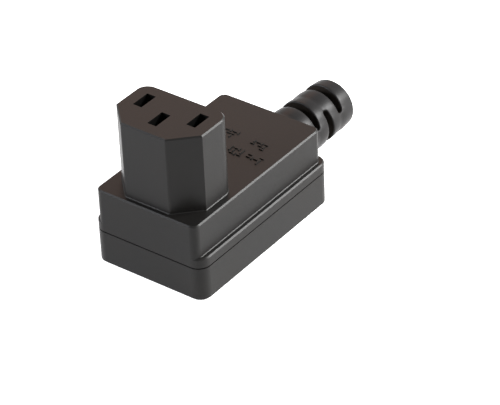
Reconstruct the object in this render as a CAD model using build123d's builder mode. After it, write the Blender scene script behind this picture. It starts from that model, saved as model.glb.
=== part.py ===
from build123d import *
import os

os.makedirs("parts", exist_ok=True)

# Right-angle rewireable line connector, in millimetres.
# The origin is on the plane it rests on, straight below the middle of the nose.
# +Z runs up out of the nose, +Y towards the cable exit, +X across the body.

# Upper body, as seen from above the parting line; its width and front follow the nose
body_length = 45.0
body_height = 19.05
body_corner_r = 1.7
body_edge = 0.3
nose_front_ledge = 1.3
nose_side_ledge = 2.0

# Flange skirt and cover, which stand out at the sides and at the back
flange_side_step = 1.25
flange_back_step = 1.2
flange_corner_r = 2.9
flange_top_z = 10.86
flange_edge = 0.3
flange_foot = 0.13
parting_z = 8.6
parting_groove_height = 0.28
parting_groove_depth = 0.35
base_edge = 0.55

# Walls of the two mouldings
side_wall = 2.0
top_wall = 2.0
floor_wall = 2.0
cavity_corner_r = 1.0
lip_thickness = 0.9
lip_height = 1.5
lip_clearance = 0.1
lip_notch_clearance = 0.3

# Nose
nose_width = 22.6
nose_depth = 15.0
nose_height = 18.5
nose_chamfer = 5.4
nose_chamfer_edge_r = 0.7
nose_back_r = 3.0
nose_face_edge = 0.3
nose_foot = 0.15
nose_face_wall = 1.8

# Contact pattern: two live slots on one line, the earth slot in front of them
live_pitch = 14.0
earth_front_inset = 5.5
earth_to_live = 4.0
slot_width = 2.3
slot_length = 4.9
chamber_width = 4.6
chamber_length = 5.4
core_out_back_width = 6.6
core_out_back_length = 3.2
core_out_front_width = 2.6
core_out_front_length = 2.6
core_out_wall = 1.6
core_out_height = 14.0

# Folded receptacle contacts
strip_thickness = 0.5
contact_width = 4.4
contact_base_width = 4.1
contact_taper_length = 5.6
contact_throat_gap = 1.5
contact_mouth_length = 2.8
contact_mouth_gap = 2.9
contact_face_gap = 1.4
contact_bend_r = 0.5

# Terminal blocks
terminal_width = 5.0
terminal_length = 6.4
terminal_height = 6.0
terminal_top_gap = 0.1
wire_hole_r = 1.3
wire_hole_rise = 3.4
rivet_r = 0.9
rivet_hole_clearance = 0.05
rivet_standout = 0.4

# Terminal screws
terminal_screw_r = 1.2
terminal_screw_head_r = 2.3
terminal_screw_head_height = 1.6
terminal_screw_head_gap = 0.2

# Terminal carrier
carrier_width = 21.8
carrier_stem_width = 7.8
carrier_wall = 1.1
carrier_front_wall = 0.8
carrier_floor = 1.6
carrier_top_gap = 0.2
pocket_clearance = 0.1
wire_channel_width = 3.4
barrier_thickness = 1.0
barrier_length = 4.6

# Cord, its exit and its clamp
cord_r = 3.5
boot_length = 23.3
boot_bore_r = 4.0
boot_root_r = 6.3
boot_tip_r = 5.9
boot_neck_r = 5.4
boot_tip_chamfer = 0.5
boot_mouth_chamfer = 0.4
boot_fit = 0.12
boot_slot_width = 1.6
boot_slot_span = 203.0
boot_slot_centre_angle = 121.5
boot_slot_pitch = 4.35
boot_slot_count = 4
boot_last_slot_setback = 4.05
collar_r = 7.4
collar_thickness = 2.2
collar_gap = 0.15
collar_floor_gap = 0.2
collar_rib_thickness = 1.2
cord_passage_r = 4.7

# Cord clamp and its screws
clamp_setback = 14.6
clamp_screw_pitch = 15.2
clamp_boss_r = 2.4
clamp_lug_r = 2.6
clamp_lug_thickness = 2.0
clamp_band_thickness = 1.7
clamp_band_length = 5.0
clamp_ridge = 0.5
clamp_ridge_width = 0.8
clamp_boss_gap = 0.1
saddle_rib_thickness = 1.2
saddle_rib_pitch = 3.0
clamp_screw_length = 7.5

# Housing screws, driven from below through the cover into the upper moulding
housing_screw_side_inset = 4.7
housing_screw_front_inset = 3.8
housing_screw_back_inset = 8.0
housing_boss_r = 2.6
housing_post_r = 3.7
housing_seat_z = 3.2
housing_counterbore_r = 2.6
housing_screw_length = 11.0
boss_gap = 0.1

# Self-tapping screws of both kinds
tapping_screw_r = 1.2
tapping_pilot_clearance = 0.05
tapping_hole_clearance = 0.25
tapping_head_r = 2.3
tapping_head_height = 1.7
pilot_spare_depth = 0.8

# Ribs that hold the carrier up from below
carrier_rib_width = 1.5
carrier_rib_length = 4.0
carrier_rib_gap = 0.1

# Places that follow from the sizes above
body_width = nose_width + 2 * nose_side_ledge
front_y = -nose_depth / 2 - nose_front_ledge
back_y = front_y + body_length
flange_width = body_width + 2 * flange_side_step
flange_length = body_length + flange_back_step
flange_back_y = back_y + flange_back_step
body_mid_y = front_y + body_length / 2
flange_mid_y = front_y + flange_length / 2
nose_face_z = body_height + nose_height
ceiling_z = body_height - top_wall
cavity_width = body_width - 2 * side_wall
cavity_length = body_length - 2 * side_wall
cavity_back_y = back_y - side_wall
earth_y = -nose_depth / 2 + earth_front_inset
live_y = earth_y + earth_to_live
poles = {
    "line": (-live_pitch / 2, live_y),
    "neutral": (live_pitch / 2, live_y),
    "earth": (0.0, earth_y),
}
pole_points = list(poles.values())

terminal_top_z = ceiling_z - terminal_top_gap
terminal_floor_z = terminal_top_z - terminal_height
wire_hole_z = terminal_floor_z + wire_hole_rise
carrier_bottom_z = terminal_floor_z - carrier_floor
carrier_top_z = ceiling_z - carrier_top_gap
carrier_back_y = live_y + terminal_length / 2 + carrier_wall
carrier_bar_front_y = live_y - terminal_length / 2 - carrier_front_wall
carrier_front_y = earth_y - terminal_length / 2 - carrier_wall
channel_bottom_z = wire_hole_z - wire_channel_width / 2
barrier_x = (live_pitch - terminal_width) / 4 + terminal_width / 4

housing_screw_x = body_width / 2 - housing_screw_side_inset
housing_screw_front_y = front_y + housing_screw_front_inset
housing_screw_back_y = back_y - housing_screw_back_inset
housing_screw_places = {
    "front_left": (-housing_screw_x, housing_screw_front_y),
    "front_right": (housing_screw_x, housing_screw_front_y),
    "back_left": (-housing_screw_x, housing_screw_back_y),
    "back_right": (housing_screw_x, housing_screw_back_y),
}
housing_screw_points = list(housing_screw_places.values())
housing_pilot_depth = housing_seat_z + housing_screw_length + pilot_spare_depth - parting_z
pilot_r = tapping_screw_r + tapping_pilot_clearance
screw_hole_r = tapping_screw_r + tapping_hole_clearance
clamp_y = back_y - clamp_setback
clamp_screw_places = {
    "left": (-clamp_screw_pitch / 2, clamp_y),
    "right": (clamp_screw_pitch / 2, clamp_y),
}
clamp_screw_points = list(clamp_screw_places.values())
clamp_seat_z = parting_z - clamp_boss_gap - clamp_lug_thickness
clamp_pilot_depth = clamp_seat_z + clamp_screw_length + pilot_spare_depth - parting_z

boot_shoulder_y = back_y + boot_fit
boot_end_y = back_y + boot_length
collar_back_y = cavity_back_y - collar_gap
collar_front_y = collar_back_y - collar_thickness
collar_rib_y = collar_front_y - collar_gap - collar_rib_thickness / 2
boot_slot_ys = [
    boot_end_y - boot_last_slot_setback - i * boot_slot_pitch for i in range(boot_slot_count)
]
cord_axis = Axis((0, 0, parting_z), (0, 1, 0))


def across(y):
    """Upright plane across the body at y, with its middle on the cord's axis."""
    return Plane((0, y, parting_z), x_dir=(1, 0, 0), z_dir=(0, -1, 0))


# Upper moulding
with BuildPart() as upper_housing:
    with BuildSketch(Plane.XY.offset(parting_z)):
        with Locations((0, flange_mid_y)):
            RectangleRounded(flange_width, flange_length, flange_corner_r)
    extrude(amount=flange_top_z - parting_z)
    chamfer(upper_housing.faces().sort_by(Axis.Z)[-1].edges(), flange_edge)
    with BuildSketch(Plane.XY.offset(parting_z)):
        with Locations((0, body_mid_y)):
            RectangleRounded(body_width, body_length, body_corner_r)
    extrude(amount=body_height - parting_z)
    chamfer(upper_housing.faces().sort_by(Axis.Z)[-1].edges(), body_edge)

    # Small slope at the foot of the body's sides and back, where they meet the flange
    with BuildSketch(Plane.XY.offset(flange_top_z)):
        with Locations((0, body_mid_y + flange_foot)):
            RectangleRounded(
                body_width + 2 * flange_foot,
                body_length,
                body_corner_r + flange_foot,
            )
    extrude(amount=flange_foot, taper=45)

    # The nose: chamfered towards the earth slot, rounded at the back
    with BuildSketch(Plane.XY.offset(body_height)) as nose_outline:
        Rectangle(nose_width, nose_depth)
        chamfer(nose_outline.vertices().group_by(Axis.Y)[0], nose_chamfer)
        fillet(nose_outline.vertices().group_by(Axis.Y)[-1], nose_back_r)
        fillet(nose_outline.vertices().group_by(Axis.Y)[0], nose_chamfer_edge_r)
    extrude(amount=nose_height)
    chamfer(upper_housing.faces().sort_by(Axis.Z)[-1].edges(), nose_face_edge)
    nose_foot_edges = (
        upper_housing.edges()
        .filter_by_position(Axis.Z, body_height - 0.01, body_height + 0.01)
        .filter_by_position(Axis.Y, -nose_depth / 2 - 0.01, nose_depth / 2 + 0.01)
        .filter_by_position(Axis.X, -nose_width / 2 - 0.01, nose_width / 2 + 0.01)
    )
    chamfer(nose_foot_edges, nose_foot)

    # Wiring space, and the rebate that takes the cover's lip
    with BuildSketch(Plane.XY.offset(parting_z)):
        with Locations((0, body_mid_y)):
            RectangleRounded(cavity_width, cavity_length, cavity_corner_r)
    extrude(amount=ceiling_z - parting_z, mode=Mode.SUBTRACT)
    with BuildSketch(Plane.XY.offset(parting_z)):
        with Locations((0, body_mid_y)):
            RectangleRounded(
                cavity_width + 2 * (lip_thickness + lip_clearance),
                cavity_length + 2 * (lip_thickness + lip_clearance),
                cavity_corner_r + lip_thickness,
            )
    extrude(amount=lip_height + lip_clearance, mode=Mode.SUBTRACT)

    # Contact chambers with their slots, and the core-outs between them
    with BuildSketch(Plane.XY.offset(ceiling_z)):
        with Locations(*pole_points):
            Rectangle(chamber_width, chamber_length)
    extrude(amount=nose_face_z - nose_face_wall - ceiling_z, mode=Mode.SUBTRACT)
    with BuildSketch(Plane.XY.offset(ceiling_z)):
        with Locations(*pole_points):
            Rectangle(slot_width, slot_length)
    extrude(amount=nose_face_z - ceiling_z, mode=Mode.SUBTRACT)
    with BuildSketch(Plane.XY.offset(ceiling_z)):
        with Locations((0, nose_depth / 2 - core_out_wall)):
            Rectangle(core_out_back_width, core_out_back_length, align=(Align.CENTER, Align.MAX))
        for side in (-1, 1):
            with Locations((side * (chamber_width / 2 + core_out_wall), earth_y - chamber_length / 2)):
                Rectangle(
                    core_out_front_width,
                    core_out_front_length,
                    align=(Align.MIN if side > 0 else Align.MAX, Align.MIN),
                )
    extrude(amount=core_out_height, mode=Mode.SUBTRACT)

    # Bosses for the housing screws and the cord clamp
    with BuildSketch(Plane.XY.offset(parting_z)):
        with Locations(*housing_screw_points):
            Circle(housing_boss_r)
        with Locations(*clamp_screw_points):
            Circle(clamp_boss_r)
    extrude(amount=ceiling_z - parting_z)

    # Saddle ribs over the cord and the rib that backs the boot's collar
    for rib_y in (clamp_y - saddle_rib_pitch / 2, clamp_y + saddle_rib_pitch / 2):
        with BuildSketch(across(rib_y)):
            Rectangle(clamp_screw_pitch, ceiling_z - parting_z, align=(Align.CENTER, Align.MIN))
            Circle(cord_r, mode=Mode.SUBTRACT)
        extrude(amount=saddle_rib_thickness / 2, both=True)
    with BuildSketch(across(collar_rib_y)):
        Rectangle(cavity_width, ceiling_z - parting_z, align=(Align.CENTER, Align.MIN))
        Circle(cord_passage_r, mode=Mode.SUBTRACT)
    extrude(amount=collar_rib_thickness / 2, both=True)

    with BuildSketch(Plane.XY.offset(parting_z)):
        with Locations(*housing_screw_points):
            Circle(pilot_r)
    extrude(amount=housing_pilot_depth, mode=Mode.SUBTRACT)
    with BuildSketch(Plane.XY.offset(parting_z)):
        with Locations(*clamp_screw_points):
            Circle(pilot_r)
    extrude(amount=clamp_pilot_depth, mode=Mode.SUBTRACT)

    # Upper half of the hole that grips the boot's neck, and of the recess round its root
    with BuildSketch(across(back_y)):
        Circle(boot_neck_r + boot_fit)
    extrude(amount=side_wall + collar_gap, mode=Mode.SUBTRACT)
    with BuildSketch(across(flange_back_y)):
        Circle(boot_root_r + boot_fit)
    extrude(amount=flange_back_step, mode=Mode.SUBTRACT)
upper_housing.part.label = "upper_housing"
export_step(upper_housing.part, "parts/upper_housing.step")


# Lower moulding: floor, walls, lip and screw posts
with BuildPart() as base_cover:
    with BuildSketch():
        with Locations((0, flange_mid_y)):
            RectangleRounded(flange_width, flange_length, flange_corner_r)
    extrude(amount=parting_z)
    chamfer(base_cover.faces().sort_by(Axis.Z)[0].edges(), base_edge)

    # Fine groove all round under the parting line
    with BuildSketch(Plane.XY.offset(parting_z - parting_groove_height)):
        with Locations((0, flange_mid_y)):
            Rectangle(2 * flange_width, 2 * flange_length)
            RectangleRounded(
                flange_width - 2 * parting_groove_depth,
                flange_length - 2 * parting_groove_depth,
                flange_corner_r - parting_groove_depth,
                mode=Mode.SUBTRACT,
            )
    extrude(amount=parting_groove_height, mode=Mode.SUBTRACT)

    # Lip that the upper moulding closes over
    with BuildSketch(Plane.XY.offset(parting_z)):
        with Locations((0, body_mid_y)):
            RectangleRounded(
                cavity_width + 2 * lip_thickness,
                cavity_length + 2 * lip_thickness,
                cavity_corner_r + lip_thickness,
            )
    extrude(amount=lip_height)
    with BuildSketch(Plane.XY.offset(floor_wall)):
        with Locations((0, body_mid_y)):
            RectangleRounded(cavity_width, cavity_length, cavity_corner_r)
    extrude(amount=parting_z + lip_height - floor_wall, mode=Mode.SUBTRACT)

    # Notches in the lip that clear the front bosses of the upper moulding
    with BuildSketch(Plane.XY.offset(parting_z)):
        with Locations(*housing_screw_points):
            Circle(housing_boss_r + lip_notch_clearance)
    extrude(amount=lip_height, mode=Mode.SUBTRACT)

    # Posts, wide enough for the counterbores, up to the bosses they meet
    with BuildSketch(Plane.XY.offset(floor_wall)):
        with Locations(*housing_screw_points):
            Circle(housing_post_r)
        with Locations((0, body_mid_y)):
            RectangleRounded(
                cavity_width + lip_thickness,
                cavity_length + lip_thickness,
                cavity_corner_r,
                mode=Mode.INTERSECT,
            )
    extrude(amount=parting_z - boss_gap - floor_wall)

    # Ribs that carry the terminal carrier, and the lower rib behind the collar
    for side in (-1, 1):
        with BuildSketch(Plane.XY.offset(floor_wall)):
            with Locations((side * cavity_width / 2, live_y)):
                Rectangle(
                    carrier_rib_width,
                    carrier_rib_length,
                    align=(Align.MAX if side > 0 else Align.MIN, Align.CENTER),
                )
        extrude(amount=carrier_bottom_z - carrier_rib_gap - floor_wall)
    with BuildSketch(across(collar_rib_y)):
        Rectangle(cavity_width, parting_z - floor_wall, align=(Align.CENTER, Align.MAX))
        Circle(cord_passage_r, mode=Mode.SUBTRACT)
    extrude(amount=collar_rib_thickness / 2, both=True)

    with Locations(*[(x, y, 0) for x, y in housing_screw_points]):
        Cylinder(
            screw_hole_r,
            parting_z,
            align=(Align.CENTER, Align.CENTER, Align.MIN),
            mode=Mode.SUBTRACT,
        )
        Cylinder(
            housing_counterbore_r,
            housing_seat_z,
            align=(Align.CENTER, Align.CENTER, Align.MIN),
            mode=Mode.SUBTRACT,
        )

    # Lower half of the boot's hole and recess
    with BuildSketch(across(back_y)):
        Circle(boot_neck_r + boot_fit)
    extrude(amount=side_wall + collar_gap, mode=Mode.SUBTRACT)
    with BuildSketch(across(flange_back_y)):
        Circle(boot_root_r + boot_fit)
    extrude(amount=flange_back_step, mode=Mode.SUBTRACT)
base_cover.part.label = "base_cover"
export_step(base_cover.part, "parts/base_cover.step")


# Strain-relief boot: collar, neck and slotted sleeve, tapering along the cord's axis
with BuildPart() as strain_relief_boot:
    with BuildSketch(Plane((0, 0, parting_z), x_dir=(0, 1, 0), z_dir=(1, 0, 0))):
        with BuildLine():
            Polyline(
                (collar_front_y, boot_bore_r),
                (collar_front_y, boot_neck_r),
                (boot_shoulder_y, boot_neck_r),
                (boot_shoulder_y, boot_root_r),
                (boot_end_y - boot_tip_chamfer, boot_tip_r),
                (boot_end_y, boot_tip_r - boot_tip_chamfer),
                (boot_end_y, boot_bore_r + boot_mouth_chamfer),
                (boot_end_y - boot_mouth_chamfer, boot_bore_r),
                close=True,
            )
        make_face()
    revolve(axis=cord_axis)
    with BuildSketch(across(collar_back_y)):
        Circle(collar_r)
        with Locations((0, floor_wall + collar_floor_gap - parting_z)):
            Rectangle(
                2 * collar_r,
                2 * collar_r,
                align=(Align.CENTER, Align.MIN),
                mode=Mode.INTERSECT,
            )
        Circle(boot_bore_r, mode=Mode.SUBTRACT)
    extrude(amount=collar_thickness)

    # Slots part way round, turned half a turn from one to the next
    for i, slot_y in enumerate(boot_slot_ys):
        middle = boot_slot_centre_angle + 180 * (i % 2)
        start_angle = middle - boot_slot_span / 2
        inner_r = boot_bore_r - boot_slot_width / 2
        outer_r = boot_root_r + boot_slot_width / 2
        with BuildSketch(across(slot_y)):
            with BuildLine():
                outer_arc = CenterArc((0, 0), outer_r, start_angle, boot_slot_span)
                inner_arc = CenterArc((0, 0), inner_r, start_angle, boot_slot_span)
                Line(outer_arc @ 0, inner_arc @ 0)
                Line(outer_arc @ 1, inner_arc @ 1)
            make_face()
        extrude(amount=boot_slot_width / 2, both=True, mode=Mode.SUBTRACT)
        for end_angle in (start_angle, start_angle + boot_slot_span):
            outward = Vector(1, 0, 0).rotate(Axis.Y, -end_angle)
            with BuildSketch(Plane(Vector(0, slot_y, parting_z) + outward * inner_r, z_dir=outward)):
                Circle(boot_slot_width / 2)
            extrude(amount=outer_r - inner_r, mode=Mode.SUBTRACT)
strain_relief_boot.part.label = "strain_relief_boot"
export_step(strain_relief_boot.part, "parts/strain_relief_boot.step")


# Terminal carrier: pockets for the blocks, channels for the cores, barriers between poles
with BuildPart() as terminal_carrier:
    with BuildSketch(Plane.XY.offset(carrier_bottom_z)):
        with Locations((0, carrier_bar_front_y)):
            Rectangle(
                carrier_width,
                carrier_back_y - carrier_bar_front_y,
                align=(Align.CENTER, Align.MIN),
            )
        with Locations((0, carrier_front_y)):
            Rectangle(
                carrier_stem_width,
                carrier_bar_front_y - carrier_front_y,
                align=(Align.CENTER, Align.MIN),
            )
        for side in (-1, 1):
            with Locations((side * barrier_x, carrier_back_y)):
                Rectangle(barrier_thickness, barrier_length, align=(Align.CENTER, Align.MIN))
    extrude(amount=carrier_top_z - carrier_bottom_z)
    with BuildSketch(Plane.XY.offset(terminal_floor_z)):
        with Locations(*pole_points):
            Rectangle(
                terminal_width + 2 * pocket_clearance,
                terminal_length + 2 * pocket_clearance,
            )
    extrude(amount=terminal_height + terminal_top_gap, mode=Mode.SUBTRACT)
    with BuildSketch(Plane.XY.offset(channel_bottom_z)):
        for x, y in pole_points:
            with Locations((x, y)):
                Rectangle(
                    wire_channel_width,
                    carrier_back_y - y,
                    align=(Align.CENTER, Align.MIN),
                )
    extrude(amount=carrier_top_z - channel_bottom_z, mode=Mode.SUBTRACT)
    with BuildSketch(Plane.XY.offset(carrier_bottom_z)):
        with Locations(*pole_points):
            Circle(screw_hole_r)
    extrude(amount=carrier_floor, mode=Mode.SUBTRACT)
terminal_carrier.part.label = "terminal_carrier"
export_step(terminal_carrier.part, "parts/terminal_carrier.step")


# Contacts, terminal blocks and terminal screws, one set for each pole
terminal_screw_head_z = carrier_bottom_z - terminal_screw_head_gap
leaf_half_width = (contact_base_width - strip_thickness) / 2
throat_half = (contact_throat_gap + strip_thickness) / 2
mouth_half = (contact_mouth_gap + strip_thickness) / 2
mouth_rise = nose_face_z - nose_face_wall - contact_face_gap - terminal_top_z
throat_rise = mouth_rise - contact_mouth_length

for pole, (pole_x, pole_y) in poles.items():
    # The strip is folded up from its web into two leaves that close to a throat
    leaf_points = [
        (0, strip_thickness / 2),
        (leaf_half_width, strip_thickness / 2),
        (leaf_half_width, throat_rise - contact_taper_length),
        (throat_half, throat_rise),
        (mouth_half, mouth_rise),
    ]
    strip_plane = Plane((pole_x, pole_y, terminal_top_z), x_dir=(1, 0, 0), z_dir=(0, -1, 0))
    with BuildPart(Plane((pole_x, pole_y, terminal_top_z))) as contact:
        with BuildSketch(strip_plane):
            with BuildLine():
                FilletPolyline(*leaf_points, radius=contact_bend_r)
                mirror(about=Plane.YZ)
            trace(line_width=strip_thickness)
        extrude(amount=contact_width / 2, both=True)
        Cylinder(rivet_r + rivet_hole_clearance, 2 * strip_thickness, mode=Mode.SUBTRACT)
    contact.part.label = f"{pole}_contact"
    export_step(contact.part, f"parts/{pole}_contact.step")

    with BuildPart(Plane((pole_x, pole_y, terminal_floor_z))) as terminal:
        Box(
            terminal_width,
            terminal_length,
            terminal_height,
            align=(Align.CENTER, Align.CENTER, Align.MIN),
        )
        with Locations((0, 0, terminal_height)):
            Cylinder(
                rivet_r,
                strip_thickness + rivet_standout,
                align=(Align.CENTER, Align.CENTER, Align.MIN),
            )
        with Locations((0, 0, wire_hole_rise)):
            Cylinder(
                wire_hole_r,
                2 * terminal_length,
                rotation=(90, 0, 0),
                mode=Mode.SUBTRACT,
            )
        Cylinder(
            pilot_r,
            wire_hole_rise,
            align=(Align.CENTER, Align.CENTER, Align.MIN),
            mode=Mode.SUBTRACT,
        )
    terminal.part.label = f"{pole}_terminal"
    export_step(terminal.part, f"parts/{pole}_terminal.step")

    with BuildPart(Plane((pole_x, pole_y, terminal_screw_head_z))) as terminal_screw:
        Cylinder(
            terminal_screw_r,
            wire_hole_z - wire_hole_r - terminal_screw_head_z,
            align=(Align.CENTER, Align.CENTER, Align.MIN),
        )
        Cylinder(
            terminal_screw_head_r,
            terminal_screw_head_height,
            align=(Align.CENTER, Align.CENTER, Align.MAX),
        )
    terminal_screw.part.label = f"{pole}_terminal_screw"
    export_step(terminal_screw.part, f"parts/{pole}_terminal_screw.step")


# Cord clamp: two lugs joined by a band that bows under the cord
clamp_inner_r = cord_r
clamp_outer_r = cord_r + clamp_band_thickness
with BuildPart() as cord_clamp:
    with BuildSketch(across(clamp_y)):
        with Locations((0, -clamp_boss_gap)):
            Rectangle(
                clamp_screw_pitch,
                clamp_lug_thickness,
                align=(Align.CENTER, Align.MAX),
            )
        Circle(clamp_outer_r)
        Circle(clamp_inner_r, mode=Mode.SUBTRACT)
        with Locations((0, -clamp_boss_gap)):
            Rectangle(
                2 * clamp_screw_pitch,
                2 * clamp_outer_r,
                align=(Align.CENTER, Align.MAX),
                mode=Mode.INTERSECT,
            )
    extrude(amount=clamp_band_length / 2, both=True)
    with BuildSketch(Plane.XY.offset(clamp_seat_z)):
        with Locations(*clamp_screw_points):
            Circle(clamp_lug_r)
    extrude(amount=clamp_lug_thickness)
    # Two ridges bite into the sheath
    for ridge_y in (clamp_y - clamp_band_length / 4, clamp_y + clamp_band_length / 4):
        with BuildSketch(across(ridge_y)):
            Circle(clamp_inner_r + clamp_band_thickness / 2)
            Circle(clamp_inner_r - clamp_ridge, mode=Mode.SUBTRACT)
            with Locations((0, -clamp_boss_gap - clamp_lug_thickness)):
                Rectangle(
                    2 * clamp_outer_r,
                    clamp_outer_r,
                    align=(Align.CENTER, Align.MAX),
                    mode=Mode.INTERSECT,
                )
        extrude(amount=clamp_ridge_width / 2, both=True)
    with BuildSketch(Plane.XY.offset(clamp_seat_z)):
        with Locations(*clamp_screw_points):
            Circle(screw_hole_r)
    extrude(amount=clamp_lug_thickness, mode=Mode.SUBTRACT)
cord_clamp.part.label = "cord_clamp"
export_step(cord_clamp.part, "parts/cord_clamp.step")


def tapping_screw(x, y, seat_z, length):
    """Self-tapping screw pointing up, with its head's seat at seat_z."""
    with BuildPart(Plane((x, y, seat_z))) as screw:
        Cylinder(tapping_screw_r, length, align=(Align.CENTER, Align.CENTER, Align.MIN))
        Cylinder(
            tapping_head_r,
            tapping_head_height,
            align=(Align.CENTER, Align.CENTER, Align.MAX),
        )
    return screw.part


for place, (x, y) in housing_screw_places.items():
    housing_screw = tapping_screw(x, y, housing_seat_z, housing_screw_length)
    housing_screw.label = f"housing_screw_{place}"
    export_step(housing_screw, f"parts/housing_screw_{place}.step")

for place, (x, y) in clamp_screw_places.items():
    clamp_screw = tapping_screw(x, y, clamp_seat_z, clamp_screw_length)
    clamp_screw.label = f"cord_clamp_screw_{place}"
    export_step(clamp_screw, f"parts/cord_clamp_screw_{place}.step")
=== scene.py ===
import math
from types import SimpleNamespace

import bmesh
import bpy
from mathutils import Matrix, Vector
from mathutils.geometry import delaunay_2d_cdt


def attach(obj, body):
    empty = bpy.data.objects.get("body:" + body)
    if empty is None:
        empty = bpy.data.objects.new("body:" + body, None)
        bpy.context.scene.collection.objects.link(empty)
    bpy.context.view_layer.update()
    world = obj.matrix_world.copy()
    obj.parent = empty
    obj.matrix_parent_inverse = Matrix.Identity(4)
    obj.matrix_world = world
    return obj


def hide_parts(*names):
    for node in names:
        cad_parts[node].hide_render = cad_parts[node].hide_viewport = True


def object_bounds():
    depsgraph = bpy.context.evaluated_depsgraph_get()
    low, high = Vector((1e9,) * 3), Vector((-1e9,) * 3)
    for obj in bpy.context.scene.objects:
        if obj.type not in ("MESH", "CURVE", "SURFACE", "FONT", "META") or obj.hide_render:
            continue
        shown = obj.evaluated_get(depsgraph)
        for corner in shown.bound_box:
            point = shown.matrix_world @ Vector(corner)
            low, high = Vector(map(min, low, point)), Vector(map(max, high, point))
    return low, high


bl_info = {
    "name": "Right-angle appliance connector",
    "version": (1, 0, 0),
    "blender": (4, 5, 0),
    "location": "3D View > Sidebar > Connector",
    "description": "Dresses the moulded connector in its finishes and sets the studio",
    "category": "Object",
}

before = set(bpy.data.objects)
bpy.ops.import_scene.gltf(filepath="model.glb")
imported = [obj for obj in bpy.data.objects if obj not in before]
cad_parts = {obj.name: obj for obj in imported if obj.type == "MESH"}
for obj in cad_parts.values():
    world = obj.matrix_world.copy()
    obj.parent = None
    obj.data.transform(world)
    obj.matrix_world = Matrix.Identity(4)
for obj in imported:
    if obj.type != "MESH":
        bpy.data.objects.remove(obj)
CAD_LOW, CAD_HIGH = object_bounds()
MM = 0.001

# Camera that took the photograph, solved from the housing's straight edges
PHOTO_WIDTH_PIXELS = 500
SENSOR_WIDTH_MM = 36.0
FOCAL_PIXELS = 2634.0
CAMERA_AZIMUTH = 37.939
CAMERA_ELEVATION = 34.959
CAMERA_ROLL = -2.541
CAMERA_PLACE_MM = (293.858, -349.719, 333.678)

# Soft boxes, all aimed at one point inside the body: name, place, size, watts and colour
LAMP_AIM_MM = (0, 20, 12)
LAMPS = (
    # Back right, mirrored by what slopes to the right, such as the boot's upper flank
    ("right_soft_box", (344, 408, 314), (180, 180), 6.3, "#ffffff"),
    # Low on the right, for the long side of the body
    ("side_soft_box", (400, 220, 60), (220, 110), 2.5, "#ffffff"),
    # Front left, a little cool, for the faces that look to the front
    ("left_soft_box", (-330, -400, 180), (240, 240), 4.5, "#f4f7ff"),
    # Back left, warm, mirrored by the level faces
    ("back_soft_box", (-340, 375, 345), (260, 200), 0.26, "#ffa66c"),
)
WORLD_LIGHT = 0.2
WORLD_TINT = "#f4f2ef"
# The floor lies a little below the base, so that the two faces never coincide
FLOOR_MM = 3000.0
FLOOR_DROP_MM = 0.02
FLOOR_COLOUR = "#e0e0e0"
FLOOR_GLOW = 0.97
WHITE = "#ffffff"

# Sockets of the Random Value node, which has a set of them for each data type
FLOAT_MAX, INT_MIN, INT_MAX = 3, 4, 5
FLOAT_OUT, INT_OUT, BOOLEAN_OUT = 1, 2, 3
# What delaunay_2d_cdt gives back: only the triangles inside the outline
INSIDE_OUTLINE = 1
# Material slot of the walls inside slots and chambers, left rough by core pins and slides; in the
# housing their darker colour is painted shade
INNER_WALL_SLOT = 1


def linear(hex_colour):
    """An sRGB hex value as linear red, green, blue and alpha."""
    channels = [int(hex_colour[i:i + 2], 16) / 255 for i in (1, 3, 5)]
    lit = [c / 12.92 if c <= 0.04045 else ((c + 0.055) / 1.055) ** 2.4 for c in channels]
    return (*lit, 1.0)


def add_node(tree, kind, links=(), **settings):
    """Adds a node, sets its properties or input values, and links {input: socket} pairs."""
    node = tree.nodes.new(kind)
    for name, value in settings.items():
        if hasattr(node, name):
            setattr(node, name, value)
        else:
            node.inputs[name.replace("_", " ")].default_value = value
    for name, socket in dict(links).items():
        tree.links.new(socket, node.inputs[name])
    return node


def length(name, millimetres, description):
    """A length that a user may change, kept in Blender's metres."""
    return bpy.props.FloatProperty(
        name=name, description=description, default=millimetres * MM, min=0.0, unit="LENGTH",
        precision=5
    )


def turn(name, degrees, description):
    """An angle that a user may change."""
    return bpy.props.FloatProperty(
        name=name, description=description, default=math.radians(degrees), subtype="ANGLE"
    )


def colour(name, hex_colour, description):
    """An sRGB hex colour that a user may change."""
    return bpy.props.StringProperty(name=name, description=description, default=hex_colour)


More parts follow.
